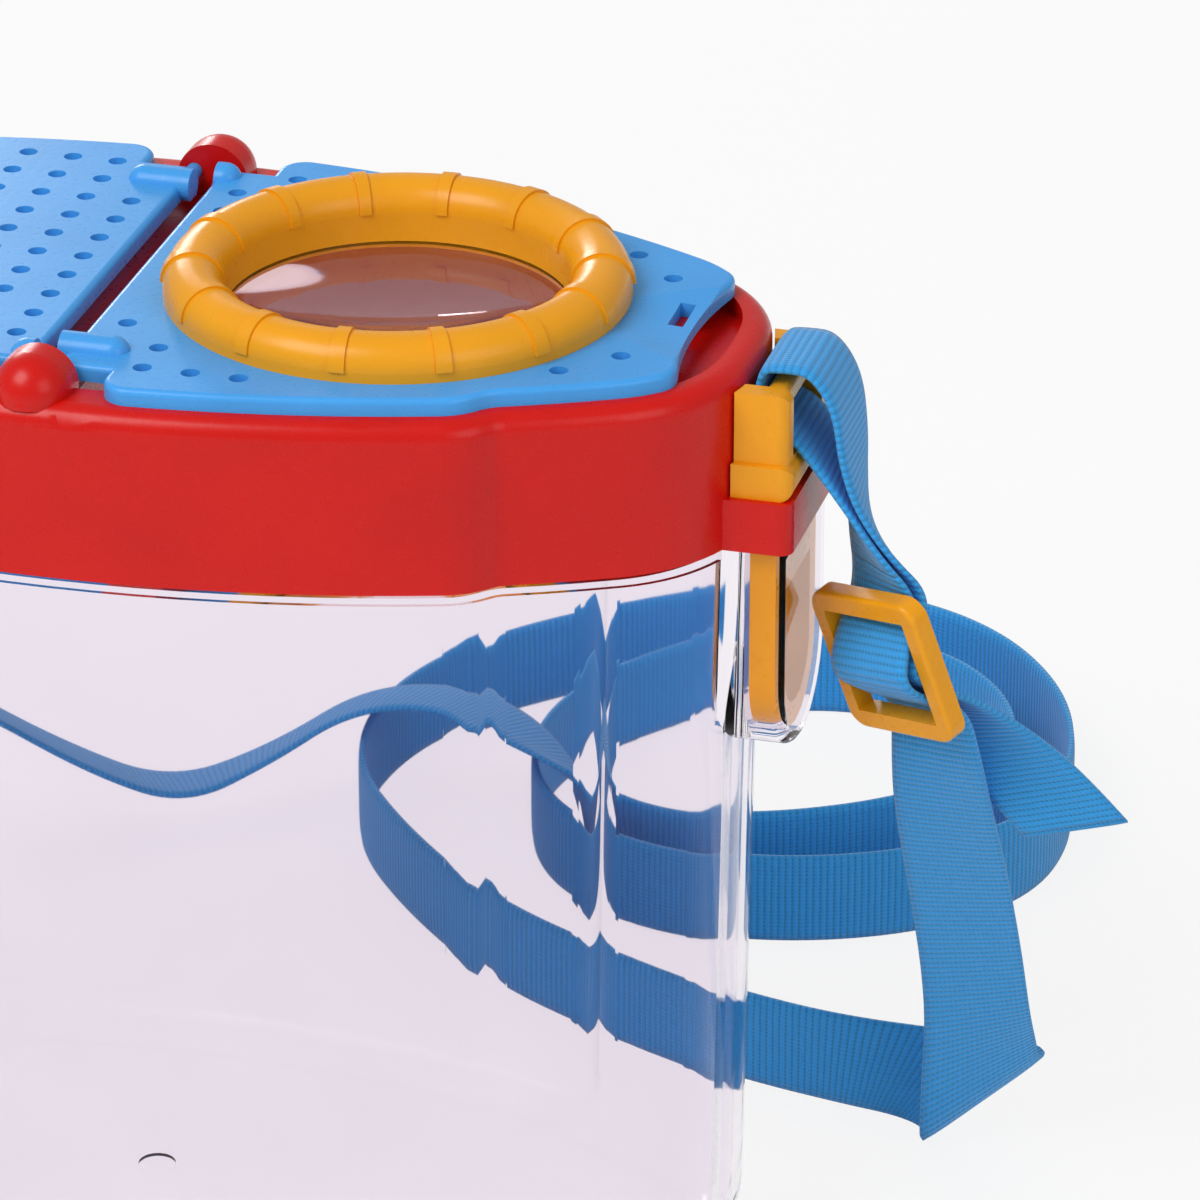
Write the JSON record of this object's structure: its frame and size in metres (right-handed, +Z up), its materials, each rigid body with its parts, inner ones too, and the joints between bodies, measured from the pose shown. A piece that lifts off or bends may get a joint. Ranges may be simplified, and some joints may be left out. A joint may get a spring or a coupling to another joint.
{
  "type": "bug catcher jar",
  "caption": "Clear oval jar with a lift-off lid, hinged perforated doors, a twist-lock magnifier, pull-up strap clips and a webbing shoulder strap with a slider.",
  "frame": {"origin": "middle of the tank's underside, on the surface that the jar stands on", "axes": "+X along the length, towards the door with the magnifier; +Y towards the back; +Z up"},
  "size_m": [0.2527, 0.2402, 0.1541],
  "materials": {
    "clear_plastic": "clear gloss",
    "clear_plastic_lens": "clear gloss",
    "red_plastic": "gloss",
    "blue_plastic": "gloss",
    "yellow_plastic": "gloss",
    "blue_webbing": "woven"
  },
  "bodies": {
    "tank": {"tank": "clear_plastic"},
    "lid": {"lid_frame": "red_plastic", "strap_main": "blue_webbing", "strap_tail": "blue_webbing", "strap_slider": "yellow_plastic"},
    "left_door": {"left_door": "blue_plastic"},
    "right_door": {"right_door": "blue_plastic"},
    "magnifier": {"magnifier_ring": "yellow_plastic", "magnifier_lens": "clear_plastic_lens"},
    "right_clip": {"right_clip": "yellow_plastic", "strap_right_loop": "blue_webbing"},
    "left_clip": {"left_clip": "yellow_plastic", "strap_left_loop": "blue_webbing"}
  },
  "joints": [
    {"name": "lid_lift", "type": "slide", "parent": "tank", "child": "lid", "axis": [0, 0, 1], "range_m": [0, 0.05]},
    {"name": "right_door_hinge", "type": "hinge", "parent": "lid", "child": "right_door", "pos_m": [0.0028, 0, 0.14675], "axis": [0, -1, 0], "range_deg": [0, 70]},
    {"name": "left_door_hinge", "type": "hinge", "parent": "lid", "child": "left_door", "pos_m": [-0.0028, 0, 0.14675], "axis": [0, 1, 0], "range_deg": [0, 70]},
    {"name": "magnifier_twist", "type": "hinge", "parent": "right_door", "child": "magnifier", "pos_m": [0.0397, 0, 0.148], "axis": [0, 0, 1], "range_deg": [0, 60]},
    {"name": "right_clip_pull", "type": "slide", "parent": "lid", "child": "right_clip", "axis": [0, 0, 1], "range_m": [0, 0.033]},
    {"name": "left_clip_pull", "type": "slide", "parent": "lid", "child": "left_clip", "axis": [0, 0, 1], "range_m": [0, 0.033]}
  ]
}
